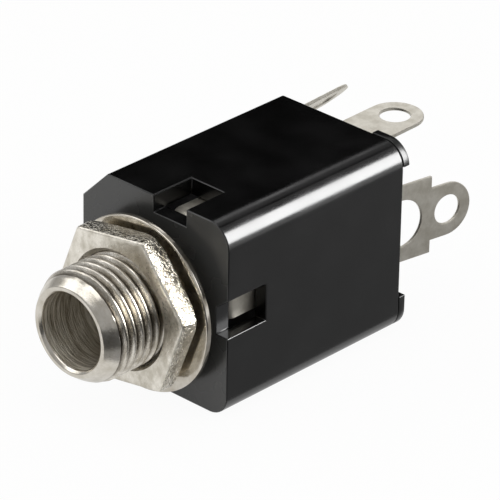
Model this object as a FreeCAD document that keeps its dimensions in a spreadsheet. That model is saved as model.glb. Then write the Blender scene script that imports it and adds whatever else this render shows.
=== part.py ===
import FreeCAD, Part
import math
import os
import Sketcher
from FreeCAD import Placement, Rotation, Vector

# A 6.35 mm mono jack socket: a moulded box with a threaded nose, nut and washer in front, and three
# spring contacts whose solder lugs come out through the rear cover.
# Frame: X to the right as seen from the front, Y from the front wall's outer face to the rear, Z up.
# The plug's axis is the Y axis.

# Driving dimensions in millimetres, angles in degrees.
SIZES = {
    # Housing. Its right side and roof stand clear of the bushing by the folded contact strips.
    "flange_to_right_spring": 0.35,
    "flange_to_top_spring": 0.65,
    "housing_bottom": 8.4,
    "housing_length": 20.36,
    "corner_chamfer": 2.8,
    "top_corner_round": 2.1,
    "bottom_corner_round": 1.9,
    "front_edge_round": 0.12,
    "front_wall": 1.5,
    "top_wall": 1.5,
    "bottom_wall": 1.5,
    "side_wall": 1.25,
    "chamfer_wall": 1.25,
    "cavity_round": 0.8,
    # Windows in the walls over the front ends of two contacts.
    "window_overcut": 0.03,
    "top_window_left": 0.15,
    "top_window_right": 3.4,
    "top_window_length": 4.3,
    "side_window_low": 1.15,
    "side_window_high": 2.2,
    "side_window_slant": 0.95,
    "side_window_length": 4.4,
    # Threaded bushing.
    "nose_length": 9.45,
    "thread_radius": 4.76,
    "plug_bore_radius": 3.25,
    "lip_lead_in": 0.25,
    "lip_ring_width": 0.3,
    "nose_bevel_length": 1.55,
    "nose_shoulder_length": 0.75,
    "nose_shoulder_drop": 0.42,
    "thread_pitch": 0.85,
    "thread_depth": 0.5,
    "thread_root_width": 0.08,
    "thread_start": 0.3,
    "thread_end_gap": 0.6,
    "flange_lip": 0.34,
    "flange_thickness": 1.2,
    "flange_chamfer": 0.6,
    "bushing_fit": 0.03,
    # Stops that keep the square flange from turning.
    "stop_gap": 0.1,
    "stop_thickness": 0.7,
    "stop_side_height": 3.4,
    # Washer and nut.
    "washer_standoff": 1.21,
    "washer_thickness": 0.5,
    "washer_ring_width": 2.3,
    "washer_hole_clearance": 0.44,
    "washer_hang_gap": 0.04,
    "washer_edge_cut": 0.08,
    "nut_standoff": 0.57,
    "nut_thickness": 1.85,
    "nut_wall": 1.59,
    "nut_angle": 39.0,
    "nut_thread_gap": 0.05,
    "nut_front_corner_cut": 0.35,
    "nut_front_edge_round": 0.25,
    "nut_rear_corner_cut": 0.65,
    "nut_bevel_angle": 30.0,
    "nut_countersink": 0.35,
    # Rear cover.
    "cover_thickness": 1.2,
    "cover_fit": 0.06,
    "cover_hole_clearance": 0.35,
    "pad_height": 0.75,
    "pad_seam": 0.06,
    "pad_across": 3.55,
    "pad_down": 1.95,
    "pad_up": 3.2,
    "pad_root_depth": 1.1,
    "slot_gap": 0.1,
    # What the three contacts share.
    "metal_thickness": 0.3,
    "strip_gap": 0.15,
    "fold_gap": 0.15,
    "fold_drop": 0.9,
    "bend_radius": 0.45,
    "rail_width": 3.6,
    "tail_length": 3.5,
    "eyelet_radius": 2.38,
    "eyelet_hole_radius": 1.3,
    "eyelet_distance": 6.15,
    "lug_start": 0.5,
    "knuckle_overlap": 0.1,
    # Tip contact.
    "tip_lug_side": 1.6,
    "tip_rail_side": 2.15,
    "tip_lug_splay": 1.0,
    "tip_end_gap": 0.3,
    "tip_foot_length": 1.3,
    "tip_ridge_back": 2.2,
    "tip_knee_back": 4.3,
    "tip_knee_drop": 0.95,
    "tip_ridge_press": 1.35,
    "tip_foot_lift": 0.95,
    "tip_head_width": 5.35,
    # Sleeve contact.
    "sleeve_lug_side": -0.6,
    "sleeve_rail_side": -1.15,
    "sleeve_lug_splay": 10.0,
    "sleeve_knee_run": 4.2,
    "sleeve_ridge_run": 7.2,
    "sleeve_end_run": 9.4,
    "sleeve_knee_drop": 0.5,
    "sleeve_ridge_press": 0.25,
    "sleeve_end_lift": 1.15,
    "shoulder_half_width": 3.5,
    "shoulder_length": 4.45,
    "shoulder_hole_radius": 2.15,
    "shoulder_hole_distance": 1.5,
    # Switch contact.
    "switch_lug_side": -0.57,
    "switch_lug_splay": 2.0,
    "switch_rail_width": 2.5,
    "switch_rail_length": 9.0,
    "switch_touch_gap": 0.02,
    "tongue_end": 0.3,
    "tongue_side_gap": 0.25,
    "tongue_bend_radius": 0.5,
}

# A point this near a plane counts as lying on it.
ON_PLANE = 1e-6
# How far a cutting section stands out past the face that it cuts.
OVERCUT = 0.01

doc = FreeCAD.newDocument("MonoJackSocket")
sheet = doc.addObject("Spreadsheet::Sheet", "Sizes")
for row, (alias, value) in enumerate(SIZES.items(), start=1):
    sheet.set(f"A{row}", str(value))
    sheet.setAlias(f"A{row}", alias)
doc.recompute()


def size(alias):
    """The number that the sheet holds under this alias."""
    return float(sheet.get(alias))


def value(expression):
    """What an expression comes to. In an expression, $name stands for the cell with that alias."""
    return float(sheet.evalExpression(expression.replace("$", "Sizes.")))


def bind(feature, prop, expression):
    """Tie a property to an expression of the sheet's cells."""
    feature.setExpression(prop, expression.replace("$", "Sizes."))


def new_body(label):
    body = doc.addObject("PartDesign::Body", label)
    body.Label = label
    return body


def new_sketch(body, name, role, lift="0"):
    """A sketch on one of the body's own origin planes, raised along that plane's normal."""
    sketch = body.newObject("Sketcher::SketchObject", name)
    plane = next(item for item in body.Origin.OriginFeatures if item.Role == role)
    sketch.AttachmentSupport = [(plane, "")]
    sketch.MapMode = "FlatFace"
    bind(sketch, "AttachmentOffset.Base.z", lift)
    return sketch


def pin_point(sketch, geometry, point, across, along):
    """Hold a sketch point at two distances from the origin, both bound to the sheet."""
    for kind, expression in (("DistanceX", across), ("DistanceY", along)):
        index = sketch.addConstraint(Sketcher.Constraint(kind, -1, 1, geometry, point, 1.0))
        bind(sketch, f"Constraints[{index}]", expression)


def draw_polygon(sketch, corners):
    """A closed outline through corners, each a pair of expressions."""
    count = len(corners)
    turn = 2 * math.pi / count
    start = [Vector(math.cos(turn * i), math.sin(turn * i), 0) for i in range(count)]
    lines = [sketch.addGeometry(Part.LineSegment(start[i], start[(i + 1) % count]))
             for i in range(count)]
    for i in range(count):
        sketch.addConstraint(Sketcher.Constraint("Coincident", lines[i - 1], 2, lines[i], 1))
    for line, (across, along) in zip(lines, corners):
        pin_point(sketch, line, 1, across, along)


def draw_rectangle(sketch, left, right, low, high):
    draw_polygon(sketch, [(left, low), (right, low), (right, high), (left, high)])


def draw_circle(sketch, radius, across=None, along=None):
    """A circle about the sketch's origin, or about a point given by two expressions."""
    circle = sketch.addGeometry(Part.Circle(Vector(0, 0, 0), Vector(0, 0, 1), 1.0))
    if across is None:
        sketch.addConstraint(Sketcher.Constraint("Coincident", circle, 3, -1, 1))
    else:
        pin_point(sketch, circle, 3, across, along)
    index = sketch.addConstraint(Sketcher.Constraint("Radius", circle, 1.0))
    bind(sketch, f"Constraints[{index}]", radius)


def add_pad(body, sketch, name, length, reverse=False):
    before = body.Shape.Volume if body.Tip else 0.0
    pad = body.newObject("PartDesign::Pad", name)
    pad.Profile = sketch
    pad.Reversed = reverse
    bind(pad, "Length", length)
    doc.recompute()
    if body.Shape.Volume <= before:
        raise RuntimeError(f"{name} adds nothing")
    return pad


def add_pocket(body, sketch, name, length, reverse=False):
    before = body.Shape.Volume
    pocket = body.newObject("PartDesign::Pocket", name)
    pocket.Profile = sketch
    pocket.Reversed = reverse
    bind(pocket, "Length", length)
    doc.recompute()
    if body.Shape.Volume >= before:
        raise RuntimeError(f"{name} cuts nothing")
    return pocket


def find_edges(feature, test):
    """Names of the feature's edges whose centre point passes the test."""
    return [f"Edge{i}" for i, edge in enumerate(feature.Shape.Edges, start=1)
            if test(edge, edge.CenterOfMass)]


def add_edge_feature(body, base, kind, name, test, prop, amount):
    """A fillet or chamfer on the edges of base that pass the test."""
    names = find_edges(base, test)
    if not names:
        raise RuntimeError(f"{name} finds no edge")
    feature = body.newObject(f"PartDesign::{kind}", name)
    feature.Base = (base, names)
    bind(feature, prop, amount)
    doc.recompute()
    return feature


def lengthwise(edge):
    """Whether an edge is straight and runs along Y."""
    ends = [vertex.Point for vertex in edge.Vertexes]
    return (len(ends) == 2 and abs(ends[0].x - ends[1].x) < ON_PLANE
            and abs(ends[0].z - ends[1].z) < ON_PLANE)


def draw_box_section(sketch, half_width, top, bottom, chamfer):
    """The housing's section across Y: a rectangle with its top left corner cut off."""
    draw_polygon(sketch, [(f"-{half_width}", f"-{bottom}"), (half_width, f"-{bottom}"),
                          (half_width, top), (f"-{half_width} + {chamfer}", top),
                          (f"-{half_width}", f"{top} - {chamfer}")])


def round_box_corners(body, base, name, right, top_round, bottom_round):
    """Round the three square corners of a box section whose right hand side is at X = right."""
    def corner(left, top):
        def test(edge, centre):
            side = -centre.x if left else centre.x
            return lengthwise(edge) and abs(side - right) < ON_PLANE and (centre.z > 0) == top
        return test
    step = add_edge_feature(body, base, "Fillet", f"{name}_top_round", corner(False, True),
                            "Radius", top_round)
    step = add_edge_feature(body, step, "Fillet", f"{name}_right_round", corner(False, False),
                            "Radius", bottom_round)
    return add_edge_feature(body, step, "Fillet", f"{name}_left_round", corner(True, False),
                            "Radius", bottom_round)


# Expressions that several pieces share, in the order in which the pieces are stacked outwards.
HALF_METAL = "$metal_thickness / 2"
FLANGE_HALF_WIDTH = "($thread_radius + $flange_lip)"
FOLDED_STRIP = "($metal_thickness + $fold_drop + $strip_gap)"
CAVITY_HALF_WIDTH = f"({FLANGE_HALF_WIDTH} + $flange_to_right_spring + {FOLDED_STRIP})"
CAVITY_TOP = f"({FLANGE_HALF_WIDTH} + $flange_to_top_spring + {FOLDED_STRIP})"
CAVITY_BOTTOM = "($housing_bottom - $bottom_wall)"
CAVITY_CHAMFER = "($corner_chamfer - $top_wall - $side_wall + $chamfer_wall * sqrt(2))"
HOUSING_HALF_WIDTH = f"({CAVITY_HALF_WIDTH} + $side_wall)"
HOUSING_TOP = f"({CAVITY_TOP} + $top_wall)"
LIP_INNER_RADIUS = "($plug_bore_radius + $lip_lead_in)"
LIP_OUTER_RADIUS = f"({LIP_INNER_RADIUS} + $lip_ring_width)"
THREAD_ROOT_RADIUS = "($thread_radius - $thread_depth)"
WASHER_HOLE_RADIUS = "($thread_radius + $washer_hole_clearance)"
WASHER_RADIUS = f"({WASHER_HOLE_RADIUS} + $washer_ring_width)"
NUT_BORE_RADIUS = "($thread_radius + $nut_thread_gap)"
NUT_CORNER_RADIUS = "(($thread_radius + $nut_wall) / cos(30))"
COVER_HOLE_RADIUS = "($plug_bore_radius + $cover_hole_clearance)"

# How far each contact's strip lies from the plug's axis.
TIP_REACH = f"({CAVITY_TOP} - $strip_gap - {HALF_METAL})"
SLEEVE_REACH = f"({CAVITY_HALF_WIDTH} - $strip_gap - {HALF_METAL})"
SWITCH_REACH = (f"(({HOUSING_HALF_WIDTH} + {HOUSING_TOP} - $corner_chamfer) / sqrt(2)"
                f" - $chamfer_wall - $strip_gap - {HALF_METAL})")
# The switch strip is centred between the cavity's left wall and its roof.
SWITCH_SIDE = f"(({CAVITY_TOP} - {CAVITY_HALF_WIDTH}) / sqrt(2))"


def make_housing():
    body = new_body("housing")
    sketch = new_sketch(body, "housing_section", "XZ_Plane")
    draw_box_section(sketch, HOUSING_HALF_WIDTH, HOUSING_TOP, "$housing_bottom", "$corner_chamfer")
    pad = add_pad(body, sketch, "housing_block", "$housing_length", reverse=True)
    step = round_box_corners(body, pad, "housing", value(HOUSING_HALF_WIDTH),
                             "$top_corner_round", "$bottom_corner_round")
    add_edge_feature(body, step, "Fillet", "housing_front_round",
                     lambda edge, centre: abs(centre.y) < ON_PLANE, "Radius", "$front_edge_round")

    sketch = new_sketch(body, "cavity_section", "XZ_Plane", "-$front_wall")
    draw_box_section(sketch, CAVITY_HALF_WIDTH, CAVITY_TOP, CAVITY_BOTTOM, CAVITY_CHAMFER)
    pocket = add_pocket(body, sketch, "cavity", "$housing_length")
    round_box_corners(body, pocket, "cavity", value(CAVITY_HALF_WIDTH),
                      "$cavity_round", "$cavity_round")

    sketch = new_sketch(body, "bushing_hole_section", "XZ_Plane")
    draw_circle(sketch, "$thread_radius + $bushing_fit")
    add_pocket(body, sketch, "bushing_hole", "$front_wall + $stop_thickness")

    sketch = new_sketch(body, "top_window_outline", "XY_Plane", HOUSING_TOP)
    draw_rectangle(sketch, "-$top_window_left", "$top_window_right",
                   "-$front_wall", "$top_window_length")
    add_pocket(body, sketch, "top_window", "$top_wall + $window_overcut")

    sketch = new_sketch(body, "side_window_section", "XZ_Plane", "$front_wall")
    floor = f"{CAVITY_HALF_WIDTH} - $window_overcut"
    outside = f"{HOUSING_HALF_WIDTH} + $side_wall"
    draw_polygon(sketch, [
        (floor, "-$side_window_low"), (outside, "-$side_window_low"),
        (outside,
         "$side_window_high + $side_window_slant * $side_wall / ($side_wall + $window_overcut)"),
        (floor, "$side_window_high - $side_window_slant")])
    add_pocket(body, sketch, "side_window", "$front_wall + $side_window_length")

    sketch = new_sketch(body, "flange_stop_section", "XZ_Plane", "-$front_wall")
    near = f"({FLANGE_HALF_WIDTH} + $stop_gap)"
    far = f"({near} + $stop_thickness)"
    draw_polygon(sketch, [(f"-{far}", f"-{far}"), (FLANGE_HALF_WIDTH, f"-{far}"),
                          (FLANGE_HALF_WIDTH, f"-{near}"), (f"-{near}", f"-{near}"),
                          (f"-{near}", "$stop_side_height"), (f"-{far}", "$stop_side_height")])
    add_pad(body, sketch, "flange_stop", "$flange_thickness", reverse=True)
    return body


def make_threaded_bushing():
    """Turned nose with a square flange. A bevel in two slopes leads into the thread and cuts its
    first turns."""
    body = new_body("threaded_bushing")
    sketch = new_sketch(body, "bushing_section", "YZ_Plane")
    draw_polygon(sketch, [
        ("-$nose_length", LIP_INNER_RADIUS),
        ("-$nose_length", LIP_OUTER_RADIUS),
        ("-$nose_length + $nose_shoulder_length", "$thread_radius - $nose_shoulder_drop"),
        ("-$nose_length + $nose_bevel_length", "$thread_radius"),
        ("$front_wall + $flange_thickness", "$thread_radius"),
        ("$front_wall + $flange_thickness", "$plug_bore_radius"),
        ("-$nose_length + $lip_lead_in", "$plug_bore_radius")])
    turned = body.newObject("PartDesign::Revolution", "bushing_turned")
    turned.Profile = sketch
    turned.ReferenceAxis = (sketch, ["H_Axis"])
    turned.Angle = 360.0
    doc.recompute()

    sketch = new_sketch(body, "flange_section", "XZ_Plane", "-$front_wall")
    draw_rectangle(sketch, f"-{FLANGE_HALF_WIDTH}", FLANGE_HALF_WIDTH,
                   f"-{FLANGE_HALF_WIDTH}", FLANGE_HALF_WIDTH)
    draw_circle(sketch, "($thread_radius + $plug_bore_radius) / 2")
    pad = add_pad(body, sketch, "flange", "$flange_thickness", reverse=True)
    corner = value(FLANGE_HALF_WIDTH)
    add_edge_feature(body, pad, "Chamfer", "flange_corners",
                     lambda edge, centre: lengthwise(edge) and abs(abs(centre.x) - corner) < ON_PLANE
                     and abs(abs(centre.z) - corner) < ON_PLANE, "Size", "$flange_chamfer")
    add_thread(body)
    return body


def add_thread(body):
    """Wind a groove with flanks at 60 degrees round the nose, from clear air in front of the bevel
    to a little way short of the flange. Its section widens on past the crest."""
    sketch = new_sketch(body, "thread_groove_section", "YZ_Plane")
    middle = "(-$nose_length + $thread_start)"
    flank = f"($thread_depth + {OVERCUT}) * tan(30)"
    draw_polygon(sketch, [
        (f"{middle} - $thread_root_width / 2", THREAD_ROOT_RADIUS),
        (f"{middle} - $thread_root_width / 2 - {flank}", f"$thread_radius + {OVERCUT}"),
        (f"{middle} + $thread_root_width / 2 + {flank}", f"$thread_radius + {OVERCUT}"),
        (f"{middle} + $thread_root_width / 2", THREAD_ROOT_RADIUS)])
    before = body.Shape.Volume
    groove = body.newObject("PartDesign::SubtractiveHelix", "thread_groove")
    groove.Profile = sketch
    groove.ReferenceAxis = (sketch, ["H_Axis"])
    groove.Mode = "pitch-height-angle"
    bind(groove, "Pitch", "$thread_pitch")
    bind(groove, "Height", "$nose_length - $thread_start + $front_wall - $thread_end_gap")
    doc.recompute()
    if body.Shape.Volume >= before:
        raise RuntimeError("thread_groove cuts nothing")


def make_washer():
    """Hangs on the thread by its own weight, so its centre lies below the plug's axis."""
    body = new_body("washer")
    sketch = new_sketch(body, "washer_section", "XZ_Plane")
    draw_circle(sketch, WASHER_RADIUS)
    draw_circle(sketch, WASHER_HOLE_RADIUS)
    pad = add_pad(body, sketch, "washer_disc", "$washer_thickness")
    rim = value(WASHER_RADIUS)
    add_edge_feature(body, pad, "Chamfer", "washer_edges",
                     lambda edge, centre: len(edge.Vertexes) == 1
                     and abs(edge.Curve.Radius - rim) < ON_PLANE, "Size", "$washer_edge_cut")
    bind(body, "Placement.Base.y", "-$washer_standoff")
    bind(body, "Placement.Base.z", "$washer_hang_gap - $washer_hole_clearance")
    return body


def make_hex_nut():
    """Modelled from its rear face at Y 0 forwards, then moved to its place in front of the washer."""
    body = new_body("hex_nut")
    sketch = new_sketch(body, "nut_section", "XZ_Plane")
    draw_polygon(sketch, [(f"{NUT_CORNER_RADIUS} * cos($nut_angle + {30 + 60 * i})",
                           f"{NUT_CORNER_RADIUS} * sin($nut_angle + {30 + 60 * i})")
                          for i in range(6)])
    draw_circle(sketch, NUT_BORE_RADIUS)
    pad = add_pad(body, sketch, "nut_block", "$nut_thickness")
    front = size("nut_thickness")
    add_edge_feature(body, pad, "Fillet", "nut_front_edges",
                     lambda edge, centre: abs(centre.y + front) < ON_PLANE
                     and len(edge.Vertexes) == 2, "Radius", "$nut_front_edge_round")
    outer = f"{NUT_CORNER_RADIUS} + $nut_front_corner_cut"
    for name, face, inwards, cut in (
            ("rear", f"{OVERCUT}", "-", "$nut_rear_corner_cut"),
            ("front", f"-$nut_thickness - {OVERCUT}", "+", "$nut_front_corner_cut")):
        inner = f"{NUT_CORNER_RADIUS} - {cut}"
        depth = f"({outer} - ({inner})) * tan($nut_bevel_angle)"
        for kind, corners in (
                ("bevel", [(face, inner), (face, outer), (f"{face} {inwards} {depth}", outer)]),
                ("countersink", [(face, f"{NUT_BORE_RADIUS} - {OVERCUT}"),
                                 (face, f"{NUT_BORE_RADIUS} + $nut_countersink"),
                                 (f"{face} {inwards} $nut_countersink",
                                  f"{NUT_BORE_RADIUS} - {OVERCUT}")])):
            sketch = new_sketch(body, f"nut_{name}_{kind}_section", "YZ_Plane")
            draw_polygon(sketch, corners)
            before = body.Shape.Volume
            groove = body.newObject("PartDesign::Groove", f"nut_{name}_{kind}")
            groove.Profile = sketch
            groove.ReferenceAxis = (sketch, ["H_Axis"])
            groove.Angle = 360.0
            doc.recompute()
            if body.Shape.Volume >= before:
                raise RuntimeError(f"nut_{name}_{kind} cuts nothing")
    bind(body, "Placement.Base.y", "-$washer_standoff - $washer_thickness - $nut_standoff")
    return body


def cover_corner(body, name, across, low, high, corner_round):
    """A pad over one corner of the housing's rear end, rooted in the cover's plate."""
    left, right = across
    sketch = new_sketch(body, f"{name}_outline", "XZ_Plane", "-$pad_seam")
    draw_rectangle(sketch, left, right, low, high)
    pad = add_pad(body, sketch, name, "$pad_height - $pad_seam", reverse=True)
    half_width, top, bottom = value(HOUSING_HALF_WIDTH), value(HOUSING_TOP), size("housing_bottom")
    add_edge_feature(body, pad, "Fillet", f"{name}_round",
                     lambda edge, centre: lengthwise(edge)
                     and abs(abs(centre.x) - half_width) < ON_PLANE
                     and min(abs(centre.z - top), abs(centre.z + bottom)) < ON_PLANE,
                     "Radius", corner_round)


def make_rear_cover():
    """Modelled with the housing's rear face at Y 0, then moved to that face."""
    body = new_body("rear_cover")
    half_width = f"({CAVITY_HALF_WIDTH} - $cover_fit)"
    top = f"({CAVITY_TOP} - $cover_fit)"
    bottom = f"({CAVITY_BOTTOM} - $cover_fit)"
    sketch = new_sketch(body, "plate_section", "XZ_Plane", "$cover_thickness")
    draw_box_section(sketch, half_width, top, bottom, f"({CAVITY_CHAMFER} - $cover_fit * (2 - sqrt(2)))")
    pad = add_pad(body, sketch, "plate", "$cover_thickness", reverse=True)
    round_box_corners(body, pad, "plate", value(half_width), "$cavity_round", "$cavity_round")

    # Roots of the corner pads, inside the cavity's outline, then the pads over the walls.
    inner = f"({HOUSING_HALF_WIDTH} - $pad_across)"
    pads = (("top_right_pad", inner, half_width, f"{top} - $pad_root_depth - $cavity_round",
             f"{top} - $cavity_round"),
            ("bottom_right_pad", inner, half_width, f"-{bottom} + $cavity_round",
             "$pad_up - $housing_bottom"),
            ("bottom_left_pad", f"-{half_width}", f"-{inner}", f"-{bottom} + $cavity_round",
             "$pad_up - $housing_bottom"))
    for name, left, right, low, high in pads:
        sketch = new_sketch(body, f"{name}_root_outline", "XZ_Plane", "$cover_thickness / 2")
        draw_rectangle(sketch, left, right, low, high)
        add_pad(body, sketch, f"{name}_root", "$cover_thickness / 2 + $pad_height", reverse=True)
    cover_corner(body, "top_right_pad", (inner, HOUSING_HALF_WIDTH),
                 f"{top} - $pad_root_depth - $cavity_round", HOUSING_TOP, "$top_corner_round")
    cover_corner(body, "bottom_right_pad", (inner, HOUSING_HALF_WIDTH), "-$housing_bottom",
                 "$pad_up - $housing_bottom", "$bottom_corner_round")
    cover_corner(body, "bottom_left_pad", (f"-{HOUSING_HALF_WIDTH}", f"-{inner}"), "-$housing_bottom",
                 "$pad_up - $housing_bottom", "$bottom_corner_round")
    sketch = new_sketch(body, "pad_step_outline", "XZ_Plane")
    draw_rectangle(sketch, half_width, f"{HOUSING_HALF_WIDTH} + $side_wall",
                   f"{HOUSING_TOP} - $pad_down - {HOUSING_HALF_WIDTH} / 2",
                   f"{HOUSING_TOP} - $pad_down")
    add_pocket(body, sketch, "pad_step", "2 * $pad_height")

    sketch = new_sketch(body, "plug_tip_hole_section", "XZ_Plane", "2 * $cover_thickness")
    draw_circle(sketch, COVER_HOLE_RADIUS)
    add_pocket(body, sketch, "plug_tip_hole", "4 * $cover_thickness")

    slots = (("tip", 0, TIP_REACH, "$tip_lug_side", "$eyelet_radius"),
             ("sleeve", -90, SLEEVE_REACH, "$sleeve_lug_side", "$shoulder_half_width"),
             ("switch", 45, SWITCH_REACH, SWITCH_SIDE, "$switch_rail_width / 2"))
    for name, turn, reach, side, half in slots:
        sketch = new_sketch(body, f"{name}_slot_section", "XZ_Plane", "2 * $cover_thickness")
        sketch.AttachmentOffset = Placement(sketch.AttachmentOffset.Base, Rotation(Vector(0, 0, 1), turn))
        draw_rectangle(sketch, f"{side} - {half} - $slot_gap", f"{side} + {half} + $slot_gap",
                       f"{reach} - {HALF_METAL} - $slot_gap", f"{reach} + 2 * $side_wall")
        add_pocket(body, sketch, f"{name}_slot", "4 * $cover_thickness")
    bind(body, "Placement.Base.y", "$housing_length")
    return body


def draw_folded_strip(sketch, points, radius):
    """The edge-on outline of a metal strip: points are the corners of its middle line, and each
    corner is bent round with the given middle radius, or less where its two runs are short."""
    half = size("metal_thickness") / 2
    sides = {+1: [], -1: []}
    starts = {}
    spans = [b - a for a, b in zip(points, points[1:])]
    normals = [Vector(-span.y, span.x, 0).normalize() for span in spans]
    for sign in sides:
        starts[sign] = points[0] + normals[0] * half * sign
    for i, corner in enumerate(points[1:-1]):
        before, after = (Vector(span).normalize() for span in spans[i:i + 2])
        turn = math.atan2(before.x * after.y - before.y * after.x, before.dot(after))
        reach = math.tan(abs(turn) / 2)
        bend = min(radius, 0.49 * min(spans[i].Length, spans[i + 1].Length) / reach)
        towards = (after - before).normalize()
        centre = corner + towards * (bend / math.cos(turn / 2))
        entry, leave = corner - before * bend * reach, corner + after * bend * reach
        for sign, edges in sides.items():
            first = entry + normals[i] * half * sign
            last = leave + normals[i + 1] * half * sign
            middle = centre - towards * (bend - half * sign * math.copysign(1, turn))
            edges.append(Part.LineSegment(starts[sign], first))
            edges.append(Part.Arc(first, middle, last))
            starts[sign] = last
    for sign, edges in sides.items():
        edges.append(Part.LineSegment(starts[sign], points[-1] + normals[-1] * half * sign))
    ends = [Part.LineSegment(sides[+1][0].StartPoint, sides[-1][0].StartPoint),
            Part.LineSegment(sides[+1][-1].EndPoint, sides[-1][-1].EndPoint)]
    for edge in sides[+1] + sides[-1] + ends:
        sketch.addGeometry(edge)


def contact_frame(label, turn):
    """A contact is modelled as if it lay over the plug: X across it, Z away from the plug's axis."""
    body = new_body(label)
    body.Placement = Placement(Vector(0, 0, 0), Rotation(Vector(0, 1, 0), turn))
    return body


def add_plate(body, name, reach, left, right, low, high):
    """A flat stretch of the strip, square to the plug's radius."""
    sketch = new_sketch(body, f"{name}_outline", "XY_Plane", f"{reach} - {HALF_METAL}")
    draw_rectangle(sketch, left, right, low, high)
    return add_pad(body, sketch, name, "$metal_thickness")


def add_spring(body, name, points, left, width):
    """A folded stretch of the strip, from its side view: points are (Y, distance from the axis)."""
    sketch = new_sketch(body, f"{name}_profile", "YZ_Plane", left)
    draw_folded_strip(sketch, [Vector(along, away, 0) for along, away in points], size("bend_radius"))
    return add_pad(body, sketch, name, width)


def lug_sketch(body, name, reach, splay):
    """A sketch on the lug's inner face, which leans outwards by the splay from the rear cover on."""
    sketch = new_sketch(body, name, "XY_Plane")
    sketch.AttachmentOffset = Placement(Vector(0, 0, 0), Rotation(Vector(1, 0, 0), 1))
    bind(sketch, "AttachmentOffset.Rotation.Angle", splay)
    bind(sketch, "AttachmentOffset.Base.y", f"$housing_length + {HALF_METAL} * sin({splay})")
    bind(sketch, "AttachmentOffset.Base.z", f"{reach} - {HALF_METAL} * cos({splay})")
    return sketch


def add_lug(body, name, reach, side, splay, root_side, root_half_width):
    """Knuckle, arm and eyelet of a solder lug. The arm runs from the knuckle to the eyelet."""
    rear, away, lean = size("housing_length"), value(reach), math.radians(value(splay))
    run = size("lug_start") + size("knuckle_overlap")
    knuckle = [(rear - run, away), (rear, away),
               (rear + run * math.cos(lean), away + run * math.sin(lean))]
    add_spring(body, f"{name}_knuckle", knuckle, f"{root_side} - {root_half_width}",
               f"2 * {root_half_width}")
    sketch = lug_sketch(body, f"{name}_arm_outline", reach, splay)
    draw_rectangle(sketch, f"{side} - $eyelet_radius", f"{side} + $eyelet_radius",
                   "$lug_start", "$eyelet_distance")
    add_pad(body, sketch, f"{name}_arm", "$metal_thickness")
    sketch = lug_sketch(body, f"{name}_eyelet_outline", reach, splay)
    draw_circle(sketch, "$eyelet_radius", side, "$eyelet_distance")
    add_pad(body, sketch, f"{name}_eyelet", "$metal_thickness")
    sketch = lug_sketch(body, f"{name}_eyelet_hole_outline", reach, splay)
    draw_circle(sketch, "$eyelet_hole_radius", side, "$eyelet_distance")
    add_pocket(body, sketch, f"{name}_eyelet_hole", "$metal_thickness", reverse=True)


def tip_spring_stations():
    """Y of the tip spring's knee, ridge, foot and end, counted forwards from the rear cover."""
    end = size("housing_length") - size("cover_thickness") - size("tip_end_gap")
    foot = end - size("tip_foot_length")
    ridge = foot - size("tip_ridge_back")
    return ridge - size("tip_knee_back"), ridge, foot, end


def front_fold():
    """Y of the middle line where a strip folds back behind the front wall."""
    return size("front_wall") + size("fold_gap") + size("metal_thickness") / 2


def make_tip_contact():
    """Strip along the roof, folded back behind the front wall into a spring with a ridge that
    presses on the plug's tip, and a foot that rests on the switch contact's tongue."""
    body = contact_frame("tip_contact", 0)
    reach = value(TIP_REACH)
    fold = front_fold()
    knee, ridge, foot, end = tip_spring_stations()
    low = reach - size("fold_drop")
    knee_point = (knee, low - size("tip_knee_drop"))
    ridge_point = (ridge, size("plug_bore_radius") - size("tip_ridge_press"))
    lift = size("plug_bore_radius") + size("tip_foot_lift")
    spring = [(size("housing_length"), reach), (fold, reach), (fold, low), knee_point,
              ridge_point, (foot, lift), (end, lift)]
    add_spring(body, "tip_strip", spring, "$tip_rail_side - $rail_width / 2", "$rail_width")
    halfway = tuple((a + b) / 2 for a, b in zip(knee_point, ridge_point))
    add_spring(body, "tip_head", [halfway] + spring[4:],
               "$tip_rail_side + $rail_width / 2 - $tip_head_width", "$tip_head_width")
    add_plate(body, "tip_tail", TIP_REACH, "$tip_lug_side - $eyelet_radius",
              "$tip_lug_side + $eyelet_radius", "$housing_length - $tail_length", "$housing_length")
    add_lug(body, "tip_lug", TIP_REACH, "$tip_lug_side", "$tip_lug_splay", "$tip_lug_side",
            "$eyelet_radius")
    return body


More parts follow.
